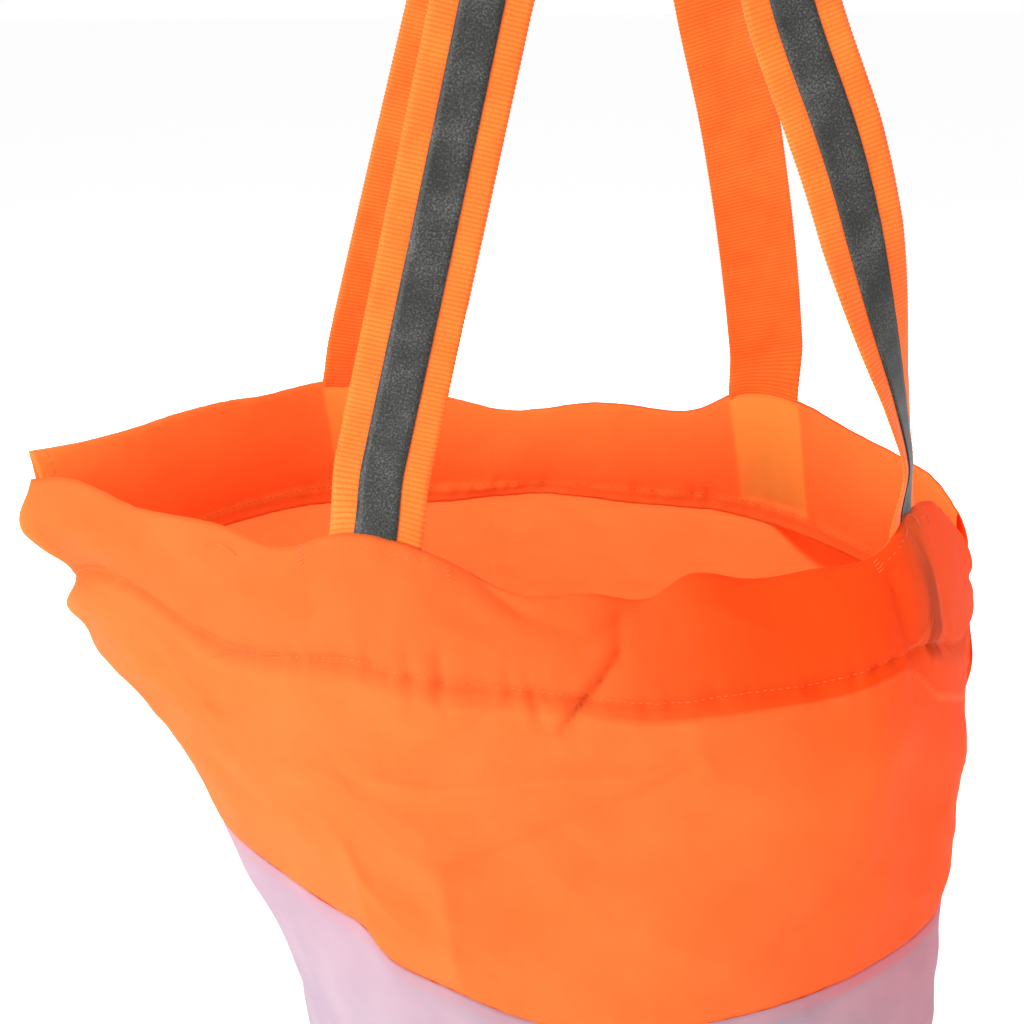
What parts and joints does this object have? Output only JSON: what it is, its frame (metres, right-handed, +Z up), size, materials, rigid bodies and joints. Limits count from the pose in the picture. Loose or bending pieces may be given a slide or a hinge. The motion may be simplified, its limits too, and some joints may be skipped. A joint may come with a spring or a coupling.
{
  "type": "fruit picking bag",
  "caption": "Soft open-top cloth bag with a round base, a bright upper band turned over at the mouth, a pale lower band and webbing handles faced with reflective tape.",
  "frame": {"origin": "centre of the underside of the round base, where the bag stands", "axes": "+Z up, +X from the left side seam to the right one, -Y is the front of the bag"},
  "size_m": [0.4472, 0.338, 0.7817],
  "materials": {
    "orange_cloth": "thin bright orange polyester with a soft sheen",
    "pale_cloth": "thin translucent near-white polyester",
    "orange_webbing": "ribbed woven orange webbing",
    "reflective_tape": "grey glass-bead retroreflective tape",
    "orange_thread": "polyester sewing thread",
    "pale_thread": "polyester sewing thread"
  },
  "bodies": {
    "bag": {"back_band_stitches": "orange_thread", "back_casing_end_stitches": "orange_thread", "back_hem_stitches": "orange_thread", "back_left_root_stitches": "orange_thread", "back_left_strap_tail": "orange_webbing", "back_left_tape_tail": "reflective_tape", "back_lower_panel": "pale_cloth", "back_right_root_stitches": "orange_thread", "back_right_strap_tail": "orange_webbing", "back_right_tape_tail": "reflective_tape", "back_upper_panel": "orange_cloth", "base_panel": "pale_cloth", "base_stitches": "pale_thread", "front_band_stitches": "orange_thread", "front_casing_end_stitches": "orange_thread", "front_hem_stitches": "orange_thread", "front_left_root_stitches": "orange_thread", "front_left_strap_tail": "orange_webbing", "front_left_tape_tail": "reflective_tape", "front_lower_panel": "pale_cloth", "front_right_root_stitches": "orange_thread", "front_right_strap_tail": "orange_webbing", "front_right_tape_tail": "reflective_tape", "front_upper_panel": "orange_cloth", "left_side_stitches": "orange_thread", "right_side_stitches": "orange_thread"},
    "front_handle": {"front_strap": "orange_webbing", "front_reflective_tape": "reflective_tape"},
    "back_handle": {"back_strap": "orange_webbing", "back_reflective_tape": "reflective_tape"}
  },
  "joints": [
    {"name": "front_handle_fold", "type": "hinge", "parent": "bag", "child": "front_handle", "pos_m": [-0.0145, -0.09, 0.403], "axis": [1, 0, 0], "range_deg": [0, 135]},
    {"name": "back_handle_fold", "type": "hinge", "parent": "bag", "child": "back_handle", "pos_m": [-0.0145, 0.094, 0.403], "axis": [-1, 0, 0], "range_deg": [0, 135]}
  ]
}
